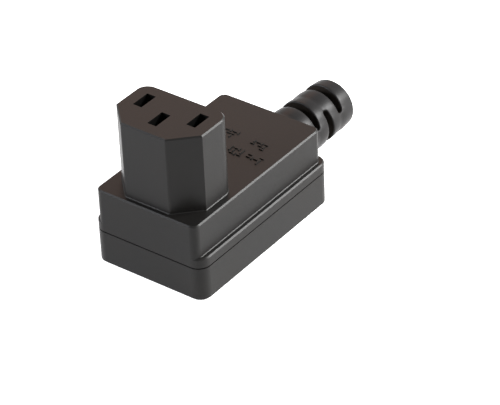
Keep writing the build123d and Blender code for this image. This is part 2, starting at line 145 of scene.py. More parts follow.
class ConnectorSizes(bpy.types.PropertyGroup):
    """Sizes of the pieces that are made here."""

    boot_bore_r: length("Boot bore", 4.0, "Radius of the boot's bore")
    boot_root_r: length("Boot root", 6.3, "Outer radius where the boot leaves the housing")
    boot_tip_r: length("Boot tip", 5.88, "Outer radius at the boot's free end")
    boot_neck_r: length("Boot neck", 5.4, "Radius gripped by the housing")
    boot_axis_z: length("Cord height", 8.6, "Height of the cord's axis above the base")
    boot_bulge: length("Bulge", 0.14, "How far each ring of the boot swells")
    boot_root_edge: length("Root edge", 0.3, "Rounding of the boot where it meets the housing")
    boot_tip_edge: length("Tip edge", 0.5, "Rounding of the boot's free end")
    boot_mouth: length("Mouth", 0.4, "Chamfer at the mouth of the bore")
    slot_width: length("Slot width", 1.5, "Width of each slot in the boot at its ends")
    slot_flare: length("Slot flare", 0.9, "How far a slot's far side bows out in its middle")
    slot_root: length("Slot root", 1.0, "Width of each slot at the bore")
    slot_span: turn("Slot span", 193.0, "Angle that each slot runs round")
    slot_middle: turn("Slot middle", 121.5, "Angle of the middle of the last slot")
    slot_pitch: length("Slot pitch", 4.35, "Distance from slot to slot")
    slot_setback: length("Slot setback", 5.05, "From the boot's end to its last slot")
    slot_edge_r: length("Slot edge", 0.26, "Rounding of the slots' outer edges")
    collar_r: length("Collar", 7.4, "Radius of the collar inside the housing")
    collar_flat: length("Collar flat", 6.4, "From the axis down to the collar's flat")
    collar_front: length("Collar front", 31.85, "Where the collar starts along Y")
    collar_back: length("Collar back", 34.05, "Where the collar ends along Y")
    shoulder: length("Shoulder", 36.32, "Where the boot widens outside the housing")
    top_z: length("Body top", 19.05, "Height of the body's top face")
    bar_length: length("Bar length", 0.96, "Length of each raised bar")
    bar_width: length("Bar width", 0.26, "Width of each raised bar")
    bar_height: length("Bar height", 0.22, "Height of the raised bars")
    block_width: length("Block width", 3.0, "Width of each block of raised bars")
    block_depth: length("Block depth", 1.9, "Depth of each block of raised bars")
    screw_r: length("Screw shank", 1.2, "Radius of every screw's shank")
    screw_head_r: length("Screw head", 2.3, "Radius of the screws' pan heads")
    tapping_head: length("Tapping head", 1.7, "Height of the tapping screws' pan heads")
    terminal_head: length("Terminal head", 1.6, "Height of the terminal screws' pan heads")


class ConnectorColours(bpy.types.PropertyGroup):
    """Base colours as sRGB hex values, two for each moulding, between which its tone drifts."""

    housing: colour("Housing", "#131313", "Black thermoplastic")
    housing_warm: colour("Housing, warmer", "#161412", "Black thermoplastic where it is warmest")
    # The chamber colours are darker than the housing's: painted shade inside the slots and chambers
    chamber: colour("Chamber", "#0b0b0b", "The housing inside its slots and chambers")
    chamber_warm: colour("Chamber, warmer", "#0d0c0b", "The same where it is warmest")
    boot: colour("Boot", "#1c1c1d", "Black flexible moulding")
    boot_warm: colour("Boot, warmer", "#232120", "Black flexible moulding where it is warmest")
    slot_wall: colour("Slot wall", "#1c1a19", "The walls of the boot's slots")
    slot_wall_warm: colour("Slot wall, warmer", "#241e18", "The same where it is warmest")
    carrier: colour("Carrier", "#b9b3a2", "Ivory insulating moulding")
    carrier_warm: colour("Carrier, warmer", "#beb6a0", "Ivory moulding where it is warmest")
    brass: colour("Brass", "#d9b366", "Rolled and milled brass")
    steel: colour("Steel", "#c3c5c6", "Zinc-plated screws")


def sizes_in_mm(group):
    """A group's lengths in millimetres, free of single precision's tail, and its angles in radians."""
    values = {}
    for prop in group.bl_rna.properties:
        if prop.type == "FLOAT":
            value = getattr(group, prop.identifier)
            values[prop.identifier] = round(value / MM, 4) if prop.unit == "LENGTH" else value
    return SimpleNamespace(**values)


def new_material(name):
    """An empty node material, and its tree."""
    material = bpy.data.materials.new(name)
    material.use_nodes = True
    tree = material.node_tree
    tree.nodes.clear()
    return material, tree


def moulded_plastic(name, hex_colour, warm_hex, grain_mm, roughness, specular):
    """A moulding: fine even grain in the bump, slight drift in tone and gloss."""
    # A real mould's grain is under 0.1 mm, too fine to show, so it is drawn as coarse as it needs
    drift_mm, bump_mm = 9.0, 0.05
    smoother, rougher = 0.05, 0.07
    material, tree = new_material(name)
    place = add_node(tree, "ShaderNodeTexCoord").outputs["Object"]
    grain = add_node(
        tree, "ShaderNodeTexNoise", {"Vector": place}, Scale=1 / (grain_mm * MM), Detail=3.0,
        Roughness=0.6
    )
    drift = add_node(
        tree, "ShaderNodeTexNoise", {"Vector": place}, Scale=1 / (drift_mm * MM), Detail=2.0
    )
    tone = add_node(
        tree, "ShaderNodeMix", {"Factor": drift.outputs["Fac"]}, data_type="RGBA"
    )
    tone.inputs["A"].default_value = linear(hex_colour)
    tone.inputs["B"].default_value = linear(warm_hex)
    gloss = add_node(
        tree, "ShaderNodeMapRange", {"Value": grain.outputs["Fac"]},
        To_Min=roughness - smoother, To_Max=roughness + rougher
    )
    bump = add_node(
        tree, "ShaderNodeBump", {"Height": grain.outputs["Fac"]}, Strength=0.16,
        Distance=bump_mm * MM
    )
    shader = add_node(
        tree, "ShaderNodeBsdfPrincipled",
        {
            "Base Color": tone.outputs["Result"],
            "Roughness": gloss.outputs["Result"],
            "Normal": bump.outputs["Normal"],
        },
        IOR=1.5,
    )
    shader.inputs["Specular IOR Level"].default_value = specular
    add_node(tree, "ShaderNodeOutputMaterial", {"Surface": shader.outputs["BSDF"]})
    return material


def worked_metal(name, hex_colour, roughness, stretch, grain_mm):
    """A worked metal: streaks along one axis from rolling, milling or turning."""
    # Real streaks are a few hundredths of a millimetre apart and are drawn coarser, so that they show
    bump_mm = 0.02
    smoother, rougher = 0.08, 0.1
    material, tree = new_material(name)
    place = add_node(tree, "ShaderNodeTexCoord").outputs["Object"]
    along = add_node(tree, "ShaderNodeMapping", {"Vector": place})
    along.inputs["Scale"].default_value = stretch
    streak = add_node(
        tree, "ShaderNodeTexNoise", {"Vector": along.outputs["Vector"]},
        Scale=1 / (grain_mm * MM), Detail=4.0
    )
    gloss = add_node(
        tree, "ShaderNodeMapRange", {"Value": streak.outputs["Fac"]},
        To_Min=roughness - smoother, To_Max=roughness + rougher
    )
    bump = add_node(
        tree, "ShaderNodeBump", {"Height": streak.outputs["Fac"]}, Strength=0.1,
        Distance=bump_mm * MM
    )
    shader = add_node(
        tree, "ShaderNodeBsdfPrincipled",
        {"Roughness": gloss.outputs["Result"], "Normal": bump.outputs["Normal"]},
        Metallic=1.0,
    )
    shader.inputs["Base Color"].default_value = linear(hex_colour)
    add_node(tree, "ShaderNodeOutputMaterial", {"Surface": shader.outputs["BSDF"]})
    return material


def finish_nodes(names, material):
    """Gives CAD nodes their material."""
    for name in names:
        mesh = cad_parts[name].data
        mesh.materials.clear()
        mesh.materials.append(material)


def keep_piece(piece, slot, *replaced):
    """Ties a finished piece to the body and hides the CAD nodes it stands for; the finish slot it is
    given is not used.
    """
    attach(piece, "root")
    if replaced:
        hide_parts(*replaced)


def add_object(name, mesh):
    """A new object at the origin that shows a mesh."""
    thing = bpy.data.objects.new(name, mesh)
    bpy.context.scene.collection.objects.link(thing)
    return thing


def object_from_bmesh(name, bm, material, sharp_degrees=40):
    """A mesh object at the origin, shaded smooth up to an angle."""
    mesh = bpy.data.meshes.new(name)
    bm.to_mesh(mesh)
    bm.free()
    for polygon in mesh.polygons:
        polygon.use_smooth = True
    mesh.set_sharp_from_angle(angle=math.radians(sharp_degrees))
    mesh.materials.append(material)
    return add_object(name, mesh)


def new_tree(name, inputs):
    """A geometry tree with named inputs {name: socket type} and one output, and its entry."""
    tree = bpy.data.node_groups.new(name, "GeometryNodeTree")
    for label, kind in inputs.items():
        tree.interface.new_socket(label, in_out="INPUT", socket_type=f"NodeSocket{kind}")
    tree.interface.new_socket("Geometry", in_out="OUTPUT", socket_type="NodeSocketGeometry")
    return tree, add_node(tree, "NodeGroupInput").outputs


def close_tree(tree, instances, material):
    """Ends a tree: its copies become real and get their material."""
    real = add_node(tree, "GeometryNodeRealizeInstances", {"Geometry": instances})
    dressed = add_node(tree, "GeometryNodeSetMaterial", {"Geometry": real.outputs["Geometry"]})
    dressed.inputs["Material"].default_value = material
    add_node(tree, "NodeGroupOutput", {"Geometry": dressed.outputs["Geometry"]})


def piece_from_tree(name, tree, places, values):
    """Runs a tree on points with its named inputs set, and keeps the result as a plain mesh."""
    points = bpy.data.meshes.new(f"{name}_places")
    points.from_pydata(places, [], [])
    holder = add_object(f"{name}_places", points)
    modifier = holder.modifiers.new(tree.name, "NODES")
    modifier.node_group = tree
    for item in tree.interface.items_tree:
        if item.in_out == "INPUT" and item.name in values:
            modifier[item.identifier] = values[item.name]
    plain = bpy.data.meshes.new_from_object(
        holder.evaluated_get(bpy.context.evaluated_depsgraph_get())
    )
    bpy.data.objects.remove(holder)
    if not plain.polygons:
        raise RuntimeError(f"{name} came out empty")
    plain.name = name
    return add_object(name, plain)


def middle_of(face, points):
    """Mean of a face's flat points."""
    return sum((points[i] for i in face), Vector((0, 0))) / len(face)


def join_loops(bm, a, b):
    """Joins two closed loops of vertices, and returns the faces."""
    count = len(a)
    return [
        bm.faces.new((a[i], a[(i + 1) % count], b[(i + 1) % count], b[i])) for i in range(count)
    ]


def clean(bm, distance):
    """Merges doubles and turns every face outwards."""
    bmesh.ops.remove_doubles(bm, verts=bm.verts, dist=distance)
    bmesh.ops.recalc_face_normals(bm, faces=bm.faces)
    return bm


class BootShape:
    """The slotted boot as rings about the cord's axis, with the slotted bands filled between them."""

    COLUMNS = 96
    SLOT_COUNT = 4
    # Steps of a slot along its run, round its ends and over its lip, and rows of a band
    RUN_STEPS, END_STEPS, LIP_STEPS, BAND_ROWS = 56, 10, 5, 8
    # Steps over the rounded root, along the first ring and over the tip
    ROOT_STEPS, RING_STEPS, TIP_STEPS = 4, 6, 8
    # Columns where a band is cut open, on the side away from its slot
    EVEN_SEAM, ODD_SEAM = COLUMNS * 5 // 6, COLUMNS // 3
    # Inner points keep this far from a slot, and faces nearer than this belong to its hole
    CLEAR_MM, HOLE_MM = 0.16, -0.01
    # Flat points nearer than this are one, and so are finished vertices
    SAME_MM, MERGE_M = 1e-5, 2e-6

    def __init__(self, sizes):
        self.s = sizes
        self.end_y = CAD_HIGH[1] / MM
        self.slots = [
            self.end_y - sizes.slot_setback - i * sizes.slot_pitch for i in range(self.SLOT_COUNT)
        ]
        self.stations = [sizes.shoulder] + sorted(self.slots) + [self.end_y]
        self.bm = bmesh.new()

    def outer(self, y):
        """Outer radius at y: the taper, swollen between one slot and the next."""
        s = self.s
        along = (y - s.shoulder) / (self.end_y - s.shoulder)
        radius = s.boot_root_r + (s.boot_tip_r - s.boot_root_r) * along
        for low, high in zip(self.stations[:-1], self.stations[1:]):
            if low <= y <= high:
                t = (y - low) / (high - low)
                return radius + s.boot_bulge * 4 * t * (1 - t)
        return radius

    def point(self, angle, y, radius):
        """A place round the cord's axis, in metres."""
        return Vector((
            radius * math.cos(angle) * MM,
            y * MM,
            (self.s.boot_axis_z + radius * math.sin(angle)) * MM,
        ))

    def angle(self, column):
        """Angle of a column of the rings."""
        return 2 * math.pi * column / self.COLUMNS

    def ring(self, y, radius):
        """One ring; radius is a number or a function of the angle."""
        size = radius if callable(radius) else (lambda angle: radius)
        angles = [self.angle(i) for i in range(self.COLUMNS)]
        return [self.bm.verts.new(self.point(angle, y, size(angle))) for angle in angles]

    def skin(self, profile):
        """Joins the rings of a profile of (y, radius) pairs."""
        rings = [self.ring(y, radius) for y, radius in profile]
        for a, b in zip(rings[:-1], rings[1:]):
            join_loops(self.bm, a, b)

    def slot_start(self, slot_y):
        """Angle where a slot starts; every other slot is turned half a turn."""
        turned = math.pi * (self.slots.index(slot_y) % 2)
        return self.s.slot_middle + turned - self.s.slot_span / 2

    def slot_sides(self, angle, start, scale):
        """How far a slot reaches before and after its middle line: its far side bows out."""
        # At the bore both sides are straight
        if scale <= self.s.boot_bore_r:
            return self.s.slot_root / 2, self.s.slot_root / 2
        half_span = self.s.slot_span / 2
        off = min(abs(angle - start - half_span), half_span)
        share = (math.cos(off) - math.cos(half_span)) / (1 - math.cos(half_span))
        return self.s.slot_width / 2, self.s.slot_width / 2 + self.s.slot_flare * share

    def slot_outline(self, slot_y, start, grow, scale):
        """Outline of a slot in unrolled (arc, y), grown outwards; scale is millimetres for a radian."""
        angles = [start + self.s.slot_span * i / self.RUN_STEPS for i in range(self.RUN_STEPS + 1)]
        edge = [(angle * scale, *self.slot_sides(angle, start, scale)) for angle in angles]
        end_r = edge[0][1] + grow
        turns = [math.pi * i / self.END_STEPS - math.pi / 2 for i in range(self.END_STEPS)]
        round_end = [(end_r * math.cos(turn), end_r * math.sin(turn)) for turn in turns]
        outline = [(arc, slot_y - near - grow) for arc, near, _ in edge[:-1]]
        outline += [(edge[-1][0] + u, slot_y + v) for u, v in round_end]
        outline += [(arc, slot_y + far + grow) for arc, _, far in reversed(edge[1:])]
        outline += [(edge[0][0] - u, slot_y - v) for u, v in round_end]
        return outline

    def from_slot(self, arc, y, slot_y, start, scale):
        """Distance from the slot's edge in the unrolled surface, less than 0 inside the slot."""
        low = start * scale
        high = (start + self.s.slot_span) * scale
        aside = max(low - arc, arc - high, 0.0)
        near, far = self.slot_sides(arc / scale, start, scale)
        return math.hypot(aside, y - slot_y) - (far if y > slot_y else near)

    def band(self, slot_y, seam_column, grow, radius, scale):
        """Fills the surface round one slot, from half a pitch before it to half a pitch after."""
        rows, pitch = self.BAND_ROWS, self.s.slot_pitch
        low_y, high_y = slot_y - pitch / 2, slot_y + pitch / 2
        seam = self.angle(seam_column)
        start = self.slot_start(slot_y)
        while start < seam:
            start += 2 * math.pi
        columns = [(seam + self.angle(i)) * scale for i in range(self.COLUMNS + 1)]
        border = [(arc, low_y) for arc in columns[:-1]]
        border += [(columns[-1], low_y + pitch * i / rows) for i in range(rows)]
        border += [(arc, high_y) for arc in reversed(columns[1:])]
        border += [(columns[0], high_y - pitch * i / rows) for i in range(rows)]
        hole = self.slot_outline(slot_y, start, grow, scale)
        inside = [
            (arc, y)
            for y in (low_y + pitch * row / rows for row in range(1, rows))
            for arc in columns[1:-1]
            if self.from_slot(arc, y, slot_y, start, scale) > grow + self.CLEAR_MM
        ]
        points = [Vector(p) for p in border + hole + inside]
        first = len(border)
        edges = [(i, (i + 1) % first) for i in range(first)]
        edges += [(first + i, first + (i + 1) % len(hole)) for i in range(len(hole))]
        flat, _, faces, _, _, _ = delaunay_2d_cdt(points, edges, [], INSIDE_OUTLINE, self.SAME_MM)
        verts = [self.bm.verts.new(self.point(p.x / scale, p.y, radius(p.y))) for p in flat]
        for face in faces:
            middle = middle_of(face, flat)
            if self.from_slot(middle.x, middle.y, slot_y, start, scale) > grow + self.HOLE_MM:
                self.bm.faces.new([verts[i] for i in face])
        return start

    def lip(self, slot_y, start, outer_scale, inner_scale):
        """The rounded edge and the wall of one slot."""
        s = self.s
        loops = []
        for i in range(self.LIP_STEPS + 1):
            turn = math.pi / 2 * i / self.LIP_STEPS
            grow = s.slot_edge_r * (1 - math.sin(turn))
            sink = s.slot_edge_r * (1 - math.cos(turn))
            loops.append([
                self.bm.verts.new(self.point(u / outer_scale, y, self.outer(y) - sink))
                for u, y in self.slot_outline(slot_y, start, grow, outer_scale)
            ])
        loops.append([
            self.bm.verts.new(self.point(u / inner_scale, y, s.boot_bore_r))
            for u, y in self.slot_outline(slot_y, start, 0.0, inner_scale)
        ])
        for a, b in zip(loops[:-1], loops[1:]):
            for face in join_loops(self.bm, a, b):
                face.material_index = INNER_WALL_SLOT if b is loops[-1] else 0

    def collar(self, angle):
        """The collar's radius, cut by its flat below the axis."""
        down = -math.sin(angle)
        return min(self.s.collar_r, self.s.collar_flat / down) if down > 0 else self.s.collar_r

    def root(self, first_band):
        """Profile over the rounded shoulder and along the first ring."""
        s, edge = self.s, self.s.boot_root_edge
        turns = [math.pi / 2 * i / self.ROOT_STEPS for i in range(self.ROOT_STEPS + 1)]
        corner = self.outer(s.shoulder) - edge
        profile = [
            (s.shoulder + edge * (1 - math.cos(turn)), corner + edge * math.sin(turn))
            for turn in turns
        ]
        low = s.shoulder + edge
        ys = [low + (first_band - low) * i / self.RING_STEPS for i in range(1, self.RING_STEPS + 1)]
        return profile + [(y, self.outer(y)) for y in ys]

    def tip(self, last_band):
        """Profile from the last band over the rounded end and into the bore."""
        s, edge = self.s, self.s.boot_tip_edge
        turns = [math.pi / 2 * i / self.TIP_STEPS for i in range(self.TIP_STEPS + 1)]
        corner = self.outer(self.end_y) - edge
        return [(last_band, self.outer(last_band))] + [
            (self.end_y - edge + edge * math.sin(turn), corner + edge * math.cos(turn))
            for turn in turns
        ] + [
            (self.end_y, s.boot_bore_r + s.boot_mouth),
            (self.end_y - s.boot_mouth, s.boot_bore_r),
            (last_band, s.boot_bore_r),
        ]

    def build(self):
        """All of the boot as one closed mesh."""
        s = self.s
        outer_scale = (s.boot_root_r + s.boot_tip_r) / 2
        inner_scale = s.boot_bore_r
        for order, slot_y in enumerate(self.slots):
            seam = self.ODD_SEAM if order % 2 else self.EVEN_SEAM
            start = self.band(slot_y, seam, s.slot_edge_r, self.outer, outer_scale)
            self.band(slot_y, seam, 0.0, lambda y: s.boot_bore_r, inner_scale)
            self.lip(slot_y, start, outer_scale, inner_scale)
        first_band = min(self.slots) - s.slot_pitch / 2
        last_band = max(self.slots) + s.slot_pitch / 2
        self.skin([
            (s.collar_front, s.boot_bore_r), (s.collar_front, self.collar),
            (s.collar_back, self.collar), (s.collar_back, s.boot_neck_r),
            (s.shoulder, s.boot_neck_r),
        ] + self.root(first_band))
        self.skin(self.tip(last_band))
        self.skin([(s.collar_front, s.boot_bore_r), (first_band, s.boot_bore_r)])
        return clean(self.bm, self.MERGE_M)


class ScrewShape:
    """A pan-head screw that points up the Z axis, made of rings, with a cross recess in its head."""

    COLUMNS, RIM_STEPS = 40, 6
    # Rounding of the head's rim, length of the plain neck under it, and how much the neck is slimmer
    CROWN, NECK, NECK_CUT = 0.55, 0.9, 0.1
    # Depth and pitch of the thread, its start past the neck, and its profile in shares of the pitch
    THREAD_DEPTH, THREAD_PITCH, THREAD_LEAD = 0.28, 1.0, 0.3
    ROOT_END, CREST, FLANK_END = 0.45, 0.7, 0.95
    # Length of the tapered tip and the radius at its end
    TIP, TIP_R = 0.8, 0.3
    # Half the width of the recess's arms, their reach, their depth and how much they taper
    ARM_HALF, ARM_REACH, RECESS_DEPTH, RECESS_TAPER = 0.34, 1.3, 0.95, 0.72
    # Flat points nearer than this are one, and so are finished vertices
    SAME_MM, MERGE_M = 1e-6, 1e-6

    def __init__(self, sizes, head_z, head_height, tip_z):
        self.r, self.head_r = sizes.screw_r, sizes.screw_head_r
        self.head_z, self.seat_z, self.tip_z = head_z, head_z + head_height, tip_z
        self.bm = bmesh.new()

    def profile(self):
        """Half outline as (radius, height), from the head's flat face up to the tip."""
        turns = [math.pi / 2 * (1 - i / self.RIM_STEPS) for i in range(self.RIM_STEPS + 1)]
        rim = [
            (
                self.head_r - self.CROWN * (1 - math.cos(turn)),
                self.head_z + self.CROWN * (1 - math.sin(turn)),
            )
            for turn in turns
        ]
        neck_r, root_r = self.r - self.NECK_CUT, self.r - self.THREAD_DEPTH
        neck_z = self.seat_z + self.NECK
        thread, z = [], neck_z + self.THREAD_LEAD
        while z < self.tip_z - 2 * self.TIP:
            thread += [
                (root_r, z), (root_r, z + self.ROOT_END * self.THREAD_PITCH),
                (self.r, z + self.CREST * self.THREAD_PITCH),
                (root_r, z + self.FLANK_END * self.THREAD_PITCH),
            ]
            z += self.THREAD_PITCH
        shank = [(self.head_r, self.seat_z), (neck_r, self.seat_z), (neck_r, neck_z)]
        return rim + shank + thread + [(root_r, self.tip_z - self.TIP), (self.TIP_R, self.tip_z)]

    def circle(self, radius):
        """Points round the axis as (x, y)."""
        turns = [2 * math.pi * i / self.COLUMNS for i in range(self.COLUMNS)]
        return [(radius * math.cos(turn), radius * math.sin(turn)) for turn in turns]

    def vertices(self, outline, z):
        """The vertices of a level outline."""
        return [self.bm.verts.new((x * MM, y * MM, z * MM)) for x, y in outline]

    def in_recess(self, point):
        """Whether a point of the head's flat face lies in the cross."""
        across, along = abs(point.x), abs(point.y)
        return (across < self.ARM_REACH and along < self.ARM_HALF) or (
            along < self.ARM_REACH and across < self.ARM_HALF
        )

    def build(self):
        """The screw as one closed mesh."""
        profile = self.profile()
        rings = [self.vertices(self.circle(radius), z) for radius, z in profile]
        for a, b in zip(rings[:-1], rings[1:]):
            join_loops(self.bm, a, b)
        self.bm.faces.new(rings[-1])
        half, arm = self.ARM_HALF, self.ARM_REACH
        cross = [
            (arm, -half), (arm, half), (half, half), (half, arm), (-half, arm), (-half, half),
            (-arm, half), (-arm, -half), (-half, -half), (-half, -arm), (half, -arm), (half, -half),
        ]
        points = [Vector(p) for p in self.circle(profile[0][0]) + cross]
        edges = [(i, (i + 1) % self.COLUMNS) for i in range(self.COLUMNS)]
        edges += [
            (self.COLUMNS + i, self.COLUMNS + (i + 1) % len(cross)) for i in range(len(cross))
        ]
        flat, _, faces, _, _, _ = delaunay_2d_cdt(points, edges, [], INSIDE_OUTLINE, self.SAME_MM)
        mouth = self.vertices([(p.x, p.y) for p in flat], self.head_z)
        for face in faces:
            if not self.in_recess(middle_of(face, flat)):
                self.bm.faces.new([mouth[i] for i in face])
        floor = [(x * self.RECESS_TAPER, y * self.RECESS_TAPER) for x, y in cross]
        bottom = self.vertices(floor, self.head_z + self.RECESS_DEPTH)
        join_loops(self.bm, self.vertices(cross, self.head_z), bottom)
        self.bm.faces.new(bottom)
        return clean(self.bm, self.MERGE_M)


class CONNECTOR_OT_housing(bpy.types.Operator):
    """Gives the two housing mouldings their satin black finish"""

    bl_idname = "connector.housing"
    bl_label = "Housing mouldings"
    # Middles of the three chambers behind the slots, and half a chamber's size, in millimetres
    POLES = ((-7.0, 2.0), (7.0, 2.0), (0.0, -2.0))
    HALF_CHAMBER = (2.3, 2.7)
    # Slack for a vertex on a chamber's wall, and how far below the nose's face a chamber starts
    SLACK_MM, FACE_MM = 0.01, 0.05

    def in_chamber(self, point, pole):
        """Whether a point lies in a chamber, its walls included."""
        return all(
            abs(point[i] / MM - pole[i]) < self.HALF_CHAMBER[i] + self.SLACK_MM for i in range(2)
        )

    def execute(self, context):
        colours = context.scene.connector_colours
        # Glass-filled PBT from a spark-eroded mould: a dark even satin with a very fine grain
        satin = moulded_plastic(
            "housing_moulded_pbt", colours.housing, colours.housing_warm, grain_mm=0.22,
            roughness=0.4, specular=0.17
        )
        finish_nodes(("upper_housing", "base_cover"), satin)
        # The same PBT inside the slots and chambers: flat where it left the rough core pins, and painted
        # black as shade
        inner_walls = moulded_plastic(
            "chamber_painted_shade_pbt", colours.chamber, colours.chamber_warm, grain_mm=0.12,
            roughness=0.85, specular=0.02
        )
        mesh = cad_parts["upper_housing"].data
        mesh.materials.append(inner_walls)
        top = CAD_HIGH[2] - self.FACE_MM * MM
        # Faces in the chambers below the nose's face get the darker colour, painted shade
        for face in mesh.polygons:
            corners = [mesh.vertices[i].co for i in face.vertices]
            if face.center.z < top and any(
                all(self.in_chamber(corner, pole) for corner in corners) for pole in self.POLES
            ):
                face.material_index = INNER_WALL_SLOT
        return {"FINISHED"}


class CONNECTOR_OT_marks(bpy.types.Operator):
    """Raises blocks of plain bars on the body's top"""

    bl_idname = "connector.marks"
    bl_label = "Raised bars"
    # Middles of the four small blocks, in millimetres, the bars in each, and the share of them kept
    BLOCKS = ((-1.9, 23.9), (3.1, 18.9), (5.9, 23.3), (8.2, 18.6))
    COLUMNS, ROWS, SHARE_KEPT = 4, 3, 0.75

    def bars_tree(self, material):
        """Puts a grid of bars on each place, some left out and some turned a quarter."""
        tree, entry = new_tree("raised_bars", {
            "Places": "Geometry", "Columns": "Int", "Rows": "Int", "Block width": "Float",
            "Block depth": "Float", "Bar size": "Vector", "Share kept": "Float",
        })
        grid = add_node(tree, "GeometryNodeMeshGrid", {
            "Size X": entry["Block width"], "Size Y": entry["Block depth"],
            "Vertices X": entry["Columns"], "Vertices Y": entry["Rows"],
        })
        blocks = add_node(tree, "GeometryNodeInstanceOnPoints", {
            "Points": entry["Places"], "Instance": grid.outputs["Mesh"],
        })
        cells = add_node(
            tree, "GeometryNodeRealizeInstances", {"Geometry": blocks.outputs["Instances"]}
        )
        kept = add_node(
            tree, "FunctionNodeRandomValue", {"Probability": entry["Share kept"]},
            data_type="BOOLEAN", Seed=7
        )
        turned = add_node(tree, "FunctionNodeRandomValue", data_type="INT", Seed=3)
        turned.inputs[INT_MIN].default_value = 0
        turned.inputs[INT_MAX].default_value = 1
        quarter = add_node(
            tree, "ShaderNodeMath", {0: turned.outputs[INT_OUT]}, operation="MULTIPLY"
        )
        quarter.inputs[1].default_value = math.pi / 2
        spin = add_node(tree, "ShaderNodeCombineXYZ", {"Z": quarter.outputs[0]})
        bar = add_node(tree, "GeometryNodeMeshCube", {"Size": entry["Bar size"]})
        spread = add_node(tree, "GeometryNodeInstanceOnPoints", {
            "Points": cells.outputs["Geometry"], "Selection": kept.outputs[BOOLEAN_OUT],
            "Instance": bar.outputs["Mesh"], "Rotation": spin.outputs["Vector"],
        })
        close_tree(tree, spread.outputs["Instances"], material)
        return tree

    def execute(self, context):
        sizes = sizes_in_mm(context.scene.connector_sizes)
        tree = self.bars_tree(bpy.data.materials["housing_moulded_pbt"])
        places = [(x * MM, y * MM, sizes.top_z * MM) for x, y in self.BLOCKS]
        bar = (sizes.bar_length * MM, sizes.bar_width * MM, 2 * sizes.bar_height * MM)
        piece = piece_from_tree("raised_marks", tree, places, {
            "Columns": self.COLUMNS, "Rows": self.ROWS,
            "Block width": sizes.block_width * MM, "Block depth": sizes.block_depth * MM,
            "Bar size": bar, "Share kept": self.SHARE_KEPT,
        })
        keep_piece(piece, "housing_plastic")
        return {"FINISHED"}


class CONNECTOR_OT_boot(bpy.types.Operator):
    """Builds the slotted boot with its softened slot edges"""

    bl_idname = "connector.boot"
    bl_label = "Strain-relief boot"

    def execute(self, context):
        colours = context.scene.connector_colours
        # Plasticised PVC from a smooth mould: softer and a little glossier than the housing
        smooth = moulded_plastic(
            "boot_moulded_pvc", colours.boot, colours.boot_warm, grain_mm=0.3, roughness=0.37,
            specular=0.12
        )
        # The same PVC where the mould's slides left it: flat on the slots' walls
        inner_walls = moulded_plastic(
            "slot_cored_pvc", colours.slot_wall, colours.slot_wall_warm, grain_mm=0.15,
            roughness=0.85, specular=0.05
        )
        bm = BootShape(sizes_in_mm(context.scene.connector_sizes)).build()
        piece = object_from_bmesh("slotted_boot", bm, smooth)
        piece.data.materials.append(inner_walls)
        keep_piece(piece, "boot_rubber", "strain_relief_boot")
        finish_nodes(("strain_relief_boot",), smooth)
        return {"FINISHED"}


class CONNECTOR_OT_inner_mouldings(bpy.types.Operator):
    """Finishes the terminal carrier and the cord clamp"""

    bl_idname = "connector.inner_mouldings"
    bl_label = "Inner mouldings"

    def execute(self, context):
        colours = context.scene.connector_colours
        # Unfilled nylon: an ivory moulding with a soft sheen
        ivory = moulded_plastic(
            "carrier_moulded_nylon", colours.carrier, colours.carrier_warm, grain_mm=0.4,
            roughness=0.5, specular=0.5
        )
        finish_nodes(("terminal_carrier", "cord_clamp"), ivory)
        return {"FINISHED"}


class CONNECTOR_OT_metal_parts(bpy.types.Operator):
    """Finishes the contacts, the terminal blocks and every screw"""

    bl_idname = "connector.metal_parts"
    bl_label = "Metal parts"

    def execute(self, context):
        colours = context.scene.connector_colours
        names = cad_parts
        # Rolled spring brass: long faint streaks up the strip
        strip = worked_metal(
            "contact_rolled_brass", colours.brass, roughness=0.3, stretch=(1.0, 1.0, 0.12),
            grain_mm=0.12
        )
        # Sawn and milled brass bar: shorter streaks along the wire hole
        bar = worked_metal(
            "terminal_milled_brass", colours.brass, roughness=0.36, stretch=(1.0, 0.2, 1.0),
            grain_mm=0.1
        )
        # Bright zinc on turned steel: pale and slightly dull
        zinc = worked_metal(
            "screw_zinc_plated_steel", colours.steel, roughness=0.34, stretch=(1.0, 1.0, 0.3),
            grain_mm=0.15
        )
        finish_nodes([n for n in names if n.endswith("_contact")], strip)
        finish_nodes([n for n in names if n.endswith("_terminal")], bar)
        finish_nodes([n for n in names if "screw" in n], zinc)
        return {"FINISHED"}


